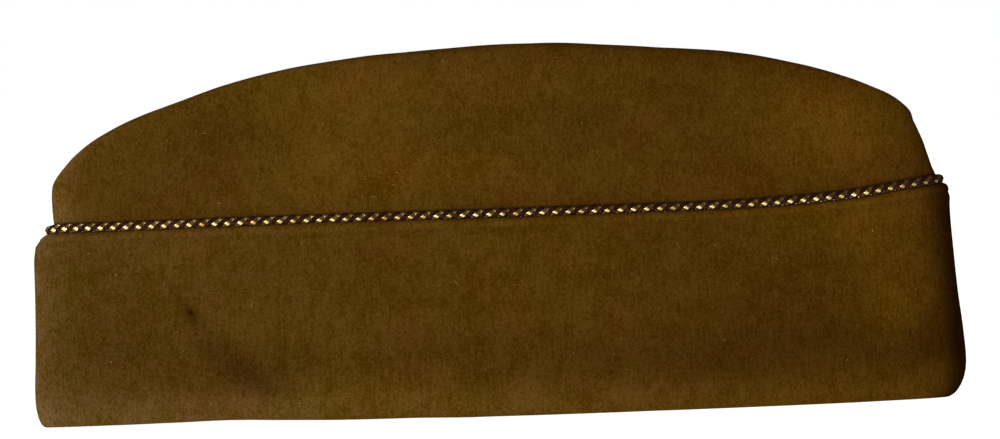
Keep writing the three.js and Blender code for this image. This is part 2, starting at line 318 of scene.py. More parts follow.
def tone_and_light_zones(grid, tone_and_light):
    total = np.zeros(grid.shape[:2])
    for at, up, reach, reach_up, much in tone_and_light:
        total += much * bell(grid[..., 0] - at, reach) * bell(grid[..., 2] - up, reach_up)
    return total


# Painted light and shade on both halves: how much, and reaches in mm or, along, as a share. The front seam
# and the ridge near it get a painted highlight. The back seam, the ridge towards it, a line over the piping
# and the corner above the piping's back end get painted shade.
CROWN_FRONT_HIGHLIGHT = 8.0
RIDGE_HIGHLIGHT = {"much": 0.3, "down": 1.5, "along": 0.28, "reach": 0.09}
CROWN_BACK_SHADE = {"wide": (0.45, 6.0), "narrow": (0.5, 1.2)}
RIDGE_SHADE = {"much": 0.28, "down": 5.0, "from": 0.25, "over": 0.5}
PIPING_LINE_SHADOW = {"much": 0.7, "up": -0.2, "reach": 0.36}
BACK_CORNER_SHADE = {"much": 0.4, "reach": 5.0}
WARMTH_TURNS = {"along": 0.45, "reach": 0.4}  # where the wool turns from greyer to warmer


def crown_tone_and_light(outside, seam, tone_and_light):
    """The crown's painted highlights, lighter and darker tone, warmth and painted shade at each point."""
    along = STATIONS[:, None]
    front, back = along < 0.5, along > 0.5
    below_ridge = CAP_HEIGHT * ridge_share(along) - outside[..., 2]
    above_piping = outside[..., 2] - curtain_top(along) - CLEARANCE - PIPING_DIAMETER
    # Painted highlight where the front seam and the front stretch of the ridge catch the light.
    ridge = RIDGE_HIGHLIGHT
    highlight_stretch = bell(along - ridge["along"], ridge["reach"])
    painted_highlight = bell(seam, CROWN_FRONT_HIGHLIGHT) * front
    painted_highlight += ridge["much"] * bell(below_ridge, ridge["down"]) * highlight_stretch
    # Painted shade where the back seam and the ridge towards the back turn from the light, in a line just
    # over the piping that the cord shades, and in the corner over the piping's back end.
    (wide, wide_reach), (narrow, narrow_reach) = CROWN_BACK_SHADE.values()
    darkened_and_painted_shade = (wide * bell(seam, wide_reach) + narrow * np.exp(-seam / narrow_reach)) * back
    ridge = RIDGE_SHADE
    darker_back = np.clip((along - ridge["from"]) / ridge["over"], 0, 1)
    darkened_and_painted_shade += ridge["much"] * darker_back * bell(below_ridge, ridge["down"])
    line = PIPING_LINE_SHADOW
    darkened_and_painted_shade += line["much"] * bell(above_piping - line["up"], line["reach"])
    corner = (seam + np.maximum(above_piping, 0)) / BACK_CORNER_SHADE["reach"]
    darkened_and_painted_shade += BACK_CORNER_SHADE["much"] * np.exp(-corner) * back
    warmth = (along - WARMTH_TURNS["along"]) / WARMTH_TURNS["reach"] * np.ones_like(seam)
    return {
        "painted_highlight": np.clip(painted_highlight, 0, 1),
        "faded_and_painted_highlight": np.clip(tone_and_light, 0, 1),
        "warmth": np.clip(warmth, 0, 1),
        "darkened_and_painted_shade": np.clip(darkened_and_painted_shade - np.minimum(tone_and_light, 0), 0, 1),
    }


CROWN_SWELLS = [(0.55, 46, 0), (0.22, 17, 3)]  # height and period in mm, and what the seed goes up by
CROWN_PUCKERS = {"height": 0.16, "period": 6.5, "seed": 5, "upright": 2.2, "reach": 6.0}
CROWN_HELD = 7.0  # how far from a seam it holds the swells down
TOP_HELD = 3.0  # how much sooner the top lies still as the plan narrows


def swells(grid, rows, seed):
    return sum(height * waves(grid, period, seed + step) for height, period, step in rows)


def crown_half(hand, seed):
    outside = softened(crown_surface(0.0), 5)
    inside = crown_surface(-CROWN_CLOTH)
    seam = seam_distance(outside, True)
    spread = plan_share(STATIONS)[:, None]
    rows = np.arange(outside.shape[1])[None, :]
    on_top = np.where(rows >= SIDE_ROWS, np.minimum(1, TOP_HELD * spread), 1)
    drawn_up = outside * np.array([1, 1, CROWN_PUCKERS["upright"]])
    pucker = CROWN_PUCKERS["height"] * waves(drawn_up, CROWN_PUCKERS["period"], seed + CROWN_PUCKERS["seed"])
    pucker *= np.exp(-seam / CROWN_PUCKERS["reach"])
    swell = swells(outside, CROWN_SWELLS, seed) * (1 - np.exp(-seam / CROWN_HELD))
    lift = (swell + pucker) * on_top + seam_relief(seam)
    outside += outward_ways(outside, True) * lift[..., None]
    for grid in (outside, inside):
        grid[..., 1] = np.minimum(grid[..., 1], -SEAM_GAP / 2)
    tone_and_light = tone_and_light_zones(outside, CROWN_TONE_AND_LIGHT_ZONES) if hand == "left" else np.zeros_like(seam)
    marks = {key: turned_to(hand, value) for key, value in crown_tone_and_light(outside, seam, tone_and_light).items()}
    face = turned_to(hand, outside)
    return closed_sheet(f"crown_wool_{hand}", face, turned_to(hand, inside), marks), face


# Heavy wool, woven, fulled and raised to a short nap that hides the weave. To the eye it is matt and
# olive brown, grainy where pale and dark fibres lie together, with redder and greener clouds. The
# curtain is greyer towards the front, and all the wool is warmer towards the back.
def from_hex(code):
    """A linear colour from an sRGB hex value."""
    parts = [int(code[i:i + 2], 16) / 255 for i in (0, 2, 4)]
    return [c / 12.92 if c <= 0.04045 else ((c + 0.055) / 1.055) ** 2.4 for c in parts] + [1]


def add_node(tree, kind, settings=(), links=()):
    """Adds a node, sets its properties and inputs by name, and links inputs to other nodes' outputs."""
    node = tree.nodes.new(kind)
    for key, value in dict(settings).items():
        if isinstance(key, str) and hasattr(node, key):
            setattr(node, key, value)
        else:
            node.inputs[key].default_value = value
    for key, source in dict(links).items():
        tree.links.new(source, node.inputs[key])
    return node


WOOL_FINISH = {
    "Roughness": 1.0, "Specular IOR Level": 0.0, "Sheen Weight": 0.04, "Sheen Roughness": 0.5,
    "Sheen Tint": from_hex("A07A40"),
}
# Spots in the nap: size in mm, detail, and how far they are drawn out along X, Y and Z. Wool fibres are
# 0.02 mm thick, too fine to show, so the finest spots are tufts drawn about as coarse as they show.
WOOL_SPOTS = {
    "fibres": (0.5, 1.0, (1, 1, 1)),
    "tufts": (1.1, 1.0, (1, 1, 1)),
    "twill": (0.8, 0.5, (1, 1, 8)),
    "patches": (5.5, 2.0, (1, 1, 1)),
    "clouds": (32.0, 2.0, (1, 1, 1)),
    "hues": (20.0, 3.0, (1, 1, 1)),
}
WOOL_SHADE = {"fibres": 1.95, "tufts": 1.35, "twill": 0.68, "patches": 1.1, "clouds": 0.85}
WOOL_RELIEF = {"fibres": 0.5, "tufts": 0.5, "twill": 0.3}
NAP_DEPTH = 0.3
WOOL_DARK = from_hex("321E00")
WOOL_LIGHT = from_hex("442E0C")
# What tints the wool: what the tint follows, from and to which value, and its red, green and blue.
WOOL_TINTS = [
    ("hues", 0.5, 0.72, (1.06, 0.95, 1.1)),
    ("hues", 0.5, 0.3, (0.97, 1.03, 0.85)),
    # Painted highlight: lighter and greyer.
    ("painted_highlight", 0.0, 1.0, (1.78, 2.08, 4.8)),
    # Faded tone and painted highlight: lighter.
    ("faded_and_painted_highlight", 0.0, 1.0, (1.75, 1.76, 1.55)),
    ("warmth", 0.0, 1.0, (1.01, 0.96, 0.76)),
    ("warmth", 0.0, -1.0, (1.0, 1.08, 1.5)),
    # Dark marks and painted shade: darker.
    ("darkened_and_painted_shade", 0.0, 1.0, (0.2, 0.13, 0.25)),
]


def raised_wool(name):
    wool = bpy.data.materials.new(name)
    wool.use_nodes = True
    tree = wool.node_tree
    surface = tree.nodes["Principled BSDF"]
    for socket, value in WOOL_FINISH.items():
        surface.inputs[socket].default_value = value
    place = add_node(tree, "ShaderNodeTexCoord").outputs["Object"]
    level = {}
    for key, (size, detail, stretch) in WOOL_SPOTS.items():
        per_metre = [1 / (size * drawn_out * MM) for drawn_out in stretch]
        scaled = add_node(tree, "ShaderNodeVectorMath", {"operation": "MULTIPLY", 1: per_metre}, {0: place})
        spots = add_node(
            tree, "ShaderNodeTexNoise", {"Scale": 1.0, "Detail": detail, "Roughness": 0.6},
            {"Vector": scaled.outputs["Vector"]},
        )
        level[key] = spots.outputs["Fac"]
    # The marks on the pieces: painted highlights, faded tone with painted highlights, warmth, and dark marks
    # with painted shade.
    for mark in ("painted_highlight", "faded_and_painted_highlight", "warmth", "darkened_and_painted_shade"):
        level[mark] = add_node(tree, "ShaderNodeAttribute", {"attribute_name": mark}).outputs["Fac"]

    totals = []
    for weights in (WOOL_SHADE, WOOL_RELIEF):
        total = None
        for key, weight in weights.items():
            start = (1 - sum(weights.values())) / 2  # so that the sum keeps its middle at one half
            links = {0: level[key]} if total is None else {0: level[key], 2: total}
            total = add_node(
                tree, "ShaderNodeMath", {"operation": "MULTIPLY_ADD", 1: weight, 2: start}, links
            ).outputs[0]
        totals.append(total)
    shade, relief = totals

    colour = add_node(
        tree, "ShaderNodeMix", {"data_type": "RGBA", 6: WOOL_DARK, 7: WOOL_LIGHT}, {0: shade}
    ).outputs[2]
    for key, low, high, tint in WOOL_TINTS:
        share = add_node(
            tree, "ShaderNodeMapRange", {"From Min": low, "From Max": high}, {"Value": level[key]}
        ).outputs["Result"]
        colour = add_node(
            tree, "ShaderNodeMix", {"data_type": "RGBA", "blend_type": "MULTIPLY", 7: (*tint, 1)},
            {0: share, 6: colour},
        ).outputs[2]
    tree.links.new(colour, surface.inputs["Base Color"])
    bump = add_node(tree, "ShaderNodeBump", {"Strength": 0.8, "Distance": NAP_DEPTH * MM}, {"Height": relief})
    tree.links.new(bump.outputs["Normal"], surface.inputs["Normal"])
    return wool


wool = raised_wool("raised_olive_brown_wool")

crown_faces = {}
for hand, seed in (("left", 1), ("right", 2)):
    half, crown_faces[hand] = crown_half(hand, seed)
    half.data.materials.append(wool)
    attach(half, "root")
    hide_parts(f"crown_{hand}")

# Curtain halves. A doubled band of the same wool is turned up outside the crown; its bottom fold is the
# rim, and its top edge is turned in and stitched under the piping. An insignia pinned low at the front
# of the left half has left a small hole and a pressed hollow that runs down and back from it.
CURTAIN_LEAN = 4.0
CURTAIN_STAND_OFF = 0.6
EDGE_LIFT = 0.4  # the soft edge swells up round the piping, past the rigid one
RIM_FOLD = 2.3
RIM_ROUND = 2.2
CURTAIN_FRONT = [
    (0, 0), (0.18, 0), (0.33, 0.1), (0.5, 0.18), (0.68, 0.22), (0.84, 0.22), (0.88, 0.26),
    (0.916, 0.38), (0.945, 0.5), (0.97, 0.78), (1, 1.4),
]
CURTAIN_BACK = [
    (0, 0), (0.18, 0.02), (0.33, 0.2), (0.5, 0.5), (0.68, 0.72), (0.85, 0.88), (0.93, 0.9), (0.97, 0.92),
    (1, 1),
]
curtain_front = curve_through(CURTAIN_FRONT)
curtain_back = curve_through(CURTAIN_BACK)


def curtain_wall(along, z, grow):
    """The curtain's outside, grown outwards by grow, as points towards -Y."""
    def up_at(share):
        return np.minimum(1, np.maximum(0, z) / (curtain_top(share) + EDGE_LIFT))
    end = CAP_LENGTH / 2 + SEAM_FULLNESS + grow
    front = -end + corner_inset("front", z) + CURTAIN_LEAN * curtain_front(up_at(0.0))
    back = end - corner_inset("back", z) - CURTAIN_LEAN * curtain_back(up_at(1.0))
    low = np.clip(1 - z / RIM_ROUND, 0, 1)
    rounding = RIM_ROUND * (1 - np.sqrt(1 - low * low))
    crown = crown_wall(along, np.maximum(z, CROWN_SEAT), 0.0)[2]
    half = crown + UNDER_CURTAIN + CURTAIN_STAND_OFF * up_at(along) - rounding + grow
    x = front + (back - front) * along
    y = np.broadcast_to(-SEAM_GAP / 2 - half * plan_share(along), x.shape)
    return np.stack([x, y, np.broadcast_to(z, x.shape)], axis=2)


def hollow_wall(along, z):
    x, y, _ = crown_wall(along, z, -CROWN_CLOTH)
    return np.stack([x, -SEAM_GAP / 2 - y, np.broadcast_to(z, x.shape)], axis=2)


CURTAIN_ROWS = 84
EDGE_ROWS = 5
RIM_ROWS = 8


def curtain_grids():
    """The curtain's outside from the rim to the top edge, and its inside with the fold at the rim."""
    along = STATIONS[:, None]
    top = curtain_top(along) + EDGE_LIFT
    edge_radius = CURTAIN_CLOTH / 2
    shoulder = top - edge_radius
    bottom_turn = RIM_ROUND * (1 - np.cos(np.linspace(0, np.pi / 2, RIM_ROWS)))[None, :]
    rise = np.linspace(0, 1, CURTAIN_ROWS - RIM_ROWS + 1)[None, 1:] ** 0.9
    side_z = RIM_ROUND + (shoulder - RIM_ROUND) * rise
    z = np.concatenate([np.repeat(bottom_turn, len(along), axis=0), side_z], axis=1)
    grids = {"outside": [curtain_wall(along, z, 0.0)], "inside": []}
    for side, first in (("outside", 0), ("inside", np.pi / 2)):
        for angle in first + np.pi / 2 * np.arange(1, EDGE_ROWS + 1) / EDGE_ROWS:
            grow = edge_radius * (math.cos(angle) - 1)
            grids[side].append(curtain_wall(along, shoulder + edge_radius * math.sin(angle), grow))
    down = np.linspace(0, 1, CURTAIN_ROWS - 2 * RIM_ROWS + 1)[None, 1:]
    grids["inside"].append(curtain_wall(along, shoulder + (RIM_FOLD - shoulder) * down, -CURTAIN_CLOTH))
    under_crown = curtain_wall(along, np.full_like(along, RIM_FOLD), -CURTAIN_CLOTH)
    at_hollow = hollow_wall(along, np.full_like(along, RIM_FOLD))
    at_rim = hollow_wall(along, np.zeros_like(along))
    across = (np.arange(1, RIM_ROWS + 1) / RIM_ROWS)[None, :, None]
    grids["inside"] += [under_crown + (at_hollow - under_crown) * across]
    grids["inside"] += [at_hollow + (at_rim - at_hollow) * across]
    return np.concatenate(grids["outside"], axis=1), np.concatenate(grids["inside"], axis=1)[:, ::-1]


# How far the left half's fold is drawn up under the hollows: the share of the way along, and mm.
RIM_RISE = [
    (0, 0), (0.08, 0.55), (0.14, 0.95), (0.21, 1.4), (0.27, 1.0), (0.34, 0.45), (0.41, 0.35), (0.48, 0),
    (1, 0),
]
RIM_RISE_REACH = 14.0
rim_rise = curve_through(RIM_RISE)
# The insignia's pin hole in the left half, the dark smear that slants through it and the shade below.
PIN_HOLE = {"x": -94.8, "up": 34.8, "reach": 1.0, "deep": 0.8}
PIN_SMEAR = {"off": -1.2, "along": 4.2, "across": 1.3}
PIN_SHADE = {"across": 2.6, "below": 2.8, "up": 3.0}
# How dark each is painted: painted shade in the pressed hollows, in the pin hole and below it, and the dark
# smear.
PIN_DARKENING = {"press": 0.32, "hole": 0.5, "smear": 0.5, "shade": 0.16}
# Pressed hollows: where along X and up, reach along and across their slant, slant in degrees and depth.
# The first four run down and back from the pin hole, the fifth lies in front of it, and the last is the
# long dip low in the curtain.
HOLLOWS = [
    (-94.6, 34.2, 3.5, 1.2, 50, 0.4),
    (-88.5, 24.5, 9.0, 4.4, 48, 0.75),
    (-80.5, 16.5, 9.0, 4.4, 36, 0.9),
    (-70.0, 11.0, 8.0, 4.0, 20, 0.7),
    (-112.0, 22.0, 16.0, 5.0, 8, 0.25),
    (15.0, 17.0, 70.0, 7.0, 1, 0.22),
]


def pressed(grid):
    """How deep the hollows of the left half are at each point, and how dark they are painted: painted shade
    in the hollows, in the pin hole and below it, and the dark smear.
    """
    depth = np.zeros(grid.shape[:2])
    x, z = grid[..., 0], grid[..., 2]
    for at, up, reach, across, slant, deep in HOLLOWS:
        turn = math.radians(slant)
        dx, dz = x - at, z - up
        run = dx * math.cos(turn) - dz * math.sin(turn)
        off = dx * math.sin(turn) + dz * math.cos(turn)
        depth += deep * bell(run, reach) * bell(off, across)
    dx, dz = x - PIN_HOLE["x"], z - PIN_HOLE["up"]
    hole = bell(np.hypot(dx, dz), PIN_HOLE["reach"])
    smear = bell(dx - dz - PIN_SMEAR["off"], PIN_SMEAR["along"]) * bell(dx + dz, PIN_SMEAR["across"])
    shade = bell(dx, PIN_SHADE["across"]) * bell(dz + PIN_SHADE["below"], PIN_SHADE["up"])
    spots = {"press": depth, "hole": hole, "smear": smear, "shade": shade}
    darkened_and_painted_shade = sum(PIN_DARKENING[key] * spot for key, spot in spots.items())
    return depth + PIN_HOLE["deep"] * hole, np.clip(darkened_and_painted_shade, 0, 1)


# Where the left half is lighter or, below zero, darker, partly in the cloth's own tone and partly as painted
# highlights and painted shade, in the same terms as on the crown.
CURTAIN_TONE_AND_LIGHT_ZONES = [
    (-117.0, 27.0, 16.0, 14.0, -0.14), (-94.0, 52.0, 12.0, 5.0, 0.15), (-47.0, 23.0, 8.0, 8.0, 0.15),
    (84.0, 26.0, 38.0, 20.0, -0.22), (122.0, 30.0, 8.5, 11.0, 0.45), (-79.0, 14.5, 16.0, 5.0, -0.1),
    (108.0, 56.0, 22.0, 9.0, 0.26), (57.0, 53.0, 17.0, 10.0, -0.16), (6.0, 21.0, 90.0, 5.5, -0.1),
    (-40.0, 9.0, 26.0, 5.0, 0.2), (10.0, 52.0, 30.0, 9.0, 0.1), (134.0, 18.0, 9.0, 9.0, -0.4),
    (118.0, 46.0, 10.0, 14.0, 0.2), (70.0, 14.0, 50.0, 8.0, -0.2), (103.0, 22.0, 12.0, 5.0, -0.16),
    (119.0, 15.0, 11.0, 5.0, -0.18), (-70.0, 18.0, 14.0, 5.0, -0.12),
]
HEM_BELOW_EDGE = 2.9  # from the curtain's top edge down to the stitches that hold the piping


# Relief along the stitches: its height, how far below them it is, and its reach.
HEM_GROOVE = (-0.28, 0.0, 0.6)
HEM_ROLL = (0.16, 1.7, 1.1)
HEM_PUCKERS = {"height": 0.12, "period": 4.2, "seed": 15, "reach": 4.0}
CURTAIN_SWELLS = [(0.5, 52, 10), (0.2, 15, 13)]  # height and period in mm, and what the seed goes up by
CURTAIN_HELD = 6.0  # how far from a seam it holds the swells down
RIM_HELD = {"much": 0.7, "reach": 3.5}
# Painted light and shade on both halves, as on the crown. The turned fold at the rim, the front seam and the
# roll below the top edge get painted highlights, and the back seam painted shade.
FOLD_HIGHLIGHT = {"much": 0.38, "less_at_back": 0.14, "up": 8.5, "soft": 1.6, "painted_highlight": 1.25, "faded_and_painted_highlight": 0.75}
CURTAIN_FRONT_HIGHLIGHT = {"much": 1.1, "reach": 6.5}
EDGE_HIGHLIGHT = {"much": 0.18, "below": 1.6, "reach": 1.5}
CURTAIN_BACK_SHADE = 10.5


def hem_relief(grid, below_edge, seed):
    """The groove along the stitches, the roll below it and the puckers that they draw."""
    relief = 0
    for high, below, reach in (HEM_GROOVE, HEM_ROLL):
        relief += high * bell(below_edge - HEM_BELOW_EDGE - below, reach)
    puckers = waves(grid, HEM_PUCKERS["period"], seed + HEM_PUCKERS["seed"])
    return relief - HEM_PUCKERS["height"] * puckers * np.exp(-below_edge / HEM_PUCKERS["reach"])


def curtain_tone_and_light(outside, seam, below_edge, darkened_and_painted_shade, tone_and_light):
    """The curtain's painted highlights, lighter and darker tone, warmth and painted shade at each point."""
    along = STATIONS[:, None]
    front, back = along < 0.5, along > 0.5
    # Painted highlight on the turned fold at the rim, which catches the light from below: lighter and greyer
    # towards the front, lighter towards the back.
    low = 1 / (1 + np.exp((outside[..., 2] - FOLD_HIGHLIGHT["up"]) / FOLD_HIGHLIGHT["soft"]))
    turned_under = (FOLD_HIGHLIGHT["much"] - FOLD_HIGHLIGHT["less_at_back"] * along) * low
    painted_highlight = FOLD_HIGHLIGHT["painted_highlight"] * turned_under * (1 - along)
    # Painted highlight along the front seam, where the edge catches the light.
    painted_highlight += CURTAIN_FRONT_HIGHLIGHT["much"] * np.exp(-seam / CURTAIN_FRONT_HIGHLIGHT["reach"]) * front
    # The fold's painted highlight towards the back, and a painted highlight on the roll just below the top
    # edge.
    faded_and_painted_highlight = FOLD_HIGHLIGHT["faded_and_painted_highlight"] * turned_under * along
    faded_and_painted_highlight += EDGE_HIGHLIGHT["much"] * bell(below_edge - EDGE_HIGHLIGHT["below"], EDGE_HIGHLIGHT["reach"])
    # Painted shade at the back seam, where the curtain turns away from the light.
    darkened_and_painted_shade = darkened_and_painted_shade + np.exp(-((seam / CURTAIN_BACK_SHADE) ** 3)) * back
    warmth = (along - WARMTH_TURNS["along"]) / WARMTH_TURNS["reach"] * np.ones_like(seam)
    return {
        "painted_highlight": np.clip(painted_highlight, 0, 1),
        "faded_and_painted_highlight": np.clip(faded_and_painted_highlight + np.maximum(tone_and_light, 0), 0, 1),
        "warmth": np.clip(warmth, -1, 1),
        "darkened_and_painted_shade": np.clip(darkened_and_painted_shade - np.minimum(tone_and_light, 0), 0, 1),
    }


def curtain_half(hand, seed):
    outside, inside = curtain_grids()
    outside = softened(outside, 2)
    seam = seam_distance(outside, False)
    along = STATIONS[:, None]
    below_edge = curtain_top(along) + EDGE_LIFT - outside[..., 2]
    held_low = 1 - RIM_HELD["much"] * np.exp(-outside[..., 2] / RIM_HELD["reach"])
    swell = swells(outside, CURTAIN_SWELLS, seed) * (1 - np.exp(-seam / CURTAIN_HELD)) * held_low
    press, darkened_and_painted_shade = pressed(outside) if hand == "left" else (0, np.zeros_like(seam))
    lift = swell + hem_relief(outside, below_edge, seed) + seam_relief(seam) - press
    outside += outward_ways(outside, False) * lift[..., None]
    for grid in (outside, inside):
        if hand == "left":
            grid[..., 2] += rim_rise(along) * np.exp(-grid[..., 2] / RIM_RISE_REACH)
        grid[..., 1] = np.minimum(grid[..., 1], -SEAM_GAP / 2)
    outside[..., 2] = np.maximum(outside[..., 2], 0)
    tone_and_light = tone_and_light_zones(outside, CURTAIN_TONE_AND_LIGHT_ZONES) if hand == "left" else np.zeros_like(seam)
    marks = curtain_tone_and_light(outside, seam, below_edge, darkened_and_painted_shade, tone_and_light)
    marks = {key: turned_to(hand, value) for key, value in marks.items()}
    face = turned_to(hand, outside)
    return closed_sheet(f"curtain_wool_{hand}", face, turned_to(hand, inside), marks), face


curtain_faces = {}
for hand, seed in (("left", 1), ("right", 2)):
    half, curtain_faces[hand] = curtain_half(hand, seed)
    half.data.materials.append(wool)
    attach(half, "root")
    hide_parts(f"curtain_{hand}")

# Piping. A round braid of eight strands over a core lies along the curtain's top edge, against the
# crown, from the front seam to the back seam on each side. Four strands run each way. Two of one way
# are gilt, so one row of gold diamonds shows; two of the other are bronze silk, and the rest are dark.
DIAMOND_SPACING = 4.05  # between gold diamonds in one row, which is half of a strand's turn
STRANDS_EACH_WAY = 4
STRAND_WIDTH = {"gold": 1.5, "bronze": 1.25, "dark": 1.5}
STRAND_THICKNESS = 0.5
STRAND_WEAVE = 0.27  # how far a strand rises and dips as it passes over and under the others
FLOAT_LEVEL = 0.5  # how much flatter than its helix a strand lies where it passes over
DIAMONDS_TURN_DOWN = 30  # degrees below level that the row of diamonds faces
STEPS_IN_TURN = 30
STRAND_SIDES = 10
CORE_DIAMETER = 1.2
PIPING_OFF_CROWN = 0.15
END_PULL = {"front": 0.6, "back": 1.1}  # how far the seam draws the piping's end in
END_PULL_REACH = 4.0
END_SINK = {"front": 0.75, "back": 0.2}  # how far the end settles where it runs into the seam
ROUTE_STEPS = 1200
DOUBLED_PINCH = {"deep": 0.4, "reach": 0.4, "square": 0.75}  # the section of two yarns side by side
# How unevenly the braid is worked: a period in mm, then its turn, its spacing and its looseness.
UNEVEN_PERIOD = 34.0
UNEVEN = {"turn": 0.22, "spacing": 0.5, "looseness": 0.12}
UNEVEN_SEEDS = (0.5, 7.5, 13.5)
UNEVEN_DEPTH = 3.1
# Painted shade on the thread: how much near the back seam, where the braid turns away from the light, and,
# more and more from the front, where it faces up.
BACK_THREAD_SHADE = {"much": 0.93, "reach": 15.0}
TOP_THREAD_SHADE = {"front": 0.62, "more": 0.33, "from": 0.16, "over": 0.4}
FACING_UP = {"from": -0.1, "over": 0.5}


def piping_route(hand):
    """Points a short step apart along the piping, with the way out of the cap."""
    along = (1 - np.cos(np.linspace(0, np.pi, ROUTE_STEPS))) / 2
    z = curtain_top(along) + CLEARANCE + PIPING_DIAMETER / 2
    x, y, _ = crown_wall(along, z, 0.0)
    wall = np.stack([x, -y, z], axis=1)
    ahead = np.gradient(wall, axis=0)
    ahead[0] = (0, -1, 0)
    ahead[-1] = (0, 1, 0)
    outwards = np.stack([ahead[:, 1], -ahead[:, 0], np.zeros(len(ahead))], axis=1)
    outwards /= np.linalg.norm(outwards, axis=1, keepdims=True)
    line = wall + outwards * (PIPING_OFF_CROWN + PIPING_DIAMETER / 2)
    line[:, 1] = np.minimum(line[:, 1], -SEAM_GAP / 2)
    length = np.concatenate([[0], np.cumsum(np.linalg.norm(np.diff(line, axis=0), axis=1))])
    for end, from_end in (("front", length), ("back", length[-1] - length)):
        near = bell(from_end, END_PULL_REACH)
        line -= outwards * (END_PULL[end] * near)[:, None]
        line[:, 2] -= END_SINK[end] * near
    side = np.array([1, -1 if hand == "right" else 1, 1])
    return length, line * side, outwards * side


def along_route(route, at):
    """The route's point, way out and way up at a length along it."""
    length, line, outwards = route
    point = np.stack([np.interp(at, length, line[:, i]) for i in range(3)], axis=1)
    out = np.stack([np.interp(at, length, outwards[:, i]) for i in range(3)], axis=1)
    out /= np.linalg.norm(out, axis=1, keepdims=True)
    ahead = np.gradient(point, axis=0)
    ahead /= np.linalg.norm(ahead, axis=1, keepdims=True)
    up = np.cross(ahead, out)
    up *= np.sign(up[:, 2:3])
    up /= np.linalg.norm(up, axis=1, keepdims=True)
    return point, out, up


def strand_tube(centre, width_way, thick_way, width, thickness, sides, doubled=False):
    """One strand as a closed tube with a flat section, pinched along its middle where it is doubled."""
    angle = 2 * np.pi * np.arange(sides) / sides
    deep, reach, square = DOUBLED_PINCH.values() if doubled else (0, 1, 1)
    pinch = 1 - deep * bell(np.cos(angle), reach)
    wide = np.sign(np.cos(angle)) * np.abs(np.cos(angle)) ** square
    across = (width / 2 * wide)[None, :, None] * width_way[:, None]
    through = (thickness / 2 * np.sin(angle) * pinch)[None, :, None] * thick_way[:, None]
    rings = centre[:, None] + across + through
    count = len(centre)
    at = np.arange(count * sides).reshape(count, sides)
    after = np.roll(at, -1, axis=1)
    around = np.stack([at[:-1], after[:-1], after[1:], at[1:]], axis=-1).reshape(-1, 4).tolist()
    return rings.reshape(-1, 3), around + [at[0, ::-1].tolist(), at[-1].tolist()]


def joined_tubes(name, tubes, flip, painted_shade=None):
    """Several tubes as one piece, with how much painted shade each of their rings has."""
    points, faces, first = [], [], 0
    for tube_points, tube_faces in tubes:
        points.append(tube_points)
        faces += [[first + i for i in (face[::-1] if flip else face)] for face in tube_faces]
        first += len(tube_points)
    marks = {} if painted_shade is None else {"painted_shade": np.repeat(np.concatenate(painted_shade), STRAND_SIDES)}
    return cloth_piece(name, np.concatenate(points) * MM, faces, marks)


def braided_piping(hand):
    route = piping_route(hand)
    lay = 2 * DIAMOND_SPACING
    at = np.arange(0, route[0][-1], lay / STEPS_IN_TURN)
    point, out, up = along_route(route, at)
    mid_radius = PIPING_DIAMETER / 2 - STRAND_WEAVE - STRAND_THICKNESS / 2
    uneven_turn, uneven_spacing, uneven_looseness = (
        much * np.array([noise.noise(Vector((s / UNEVEN_PERIOD, row, UNEVEN_DEPTH))) for s in at])
        for much, row in zip(UNEVEN.values(), UNEVEN_SEEDS)
    )
    facing = math.radians(-DIAMONDS_TURN_DOWN) + uneven_turn
    phase = at + uneven_spacing
    loose = 1 + uneven_looseness
    whole = route[0][-1]
    # Painted shade near the back seam and, growing from the front, on strands facing up.
    back_shade = BACK_THREAD_SHADE["much"] * bell(whole - at, BACK_THREAD_SHADE["reach"])
    top_shade_growth = np.clip((at / whole - TOP_THREAD_SHADE["from"]) / TOP_THREAD_SHADE["over"], 0, 1)
    top_shade = TOP_THREAD_SHADE["front"] + TOP_THREAD_SHADE["more"] * top_shade_growth
    braids = {"gold": [], "bronze": [], "dark": []}
    painted_shade = {kind: [] for kind in braids}
    for way in (1, -1):
        for k in range(STRANDS_EACH_WAY):
            kind = "gold" if way > 0 and k % 2 == 0 else "bronze" if way < 0 and k % 2 == 1 else "dark"
            crossing = 2 * STRANDS_EACH_WAY * np.pi * phase / lay
            turned = 2 * np.pi * phase / lay - way * FLOAT_LEVEL * np.sin(crossing) / STRANDS_EACH_WAY
            angle = facing + way * turned + 2 * np.pi * k / STRANDS_EACH_WAY
            weave = way * STRAND_WEAVE * np.cos(crossing) * loose
            radial = np.cos(angle)[:, None] * out + np.sin(angle)[:, None] * up
            centre = point + radial * (mid_radius + weave)[:, None]
            ahead = np.gradient(centre, axis=0)
            ahead /= np.linalg.norm(ahead, axis=1, keepdims=True)
            across = np.cross(ahead, radial)
            across /= np.linalg.norm(across, axis=1, keepdims=True)
            through = np.cross(across, ahead)
            braids[kind].append(strand_tube(
                centre, across, through, STRAND_WIDTH[kind], STRAND_THICKNESS, STRAND_SIDES, True
            ))
            # Painted shade where the strand faces up.
            facing_up = np.clip((radial[:, 2] - FACING_UP["from"]) / FACING_UP["over"], 0, 1)
            painted_shade[kind].append(np.maximum(top_shade * facing_up, back_shade))
    braids["dark"].append(strand_tube(point, out, up, CORE_DIAMETER, CORE_DIAMETER, STRAND_SIDES))
    # The core inside the braid is all in painted shade.
    painted_shade["dark"].append(np.ones(len(at)))
    flip = hand == "left"
    return {
        kind: joined_tubes(f"piping_{kind}_{hand}", tubes, flip, painted_shade[kind])
        for kind, tubes in braids.items()
    }


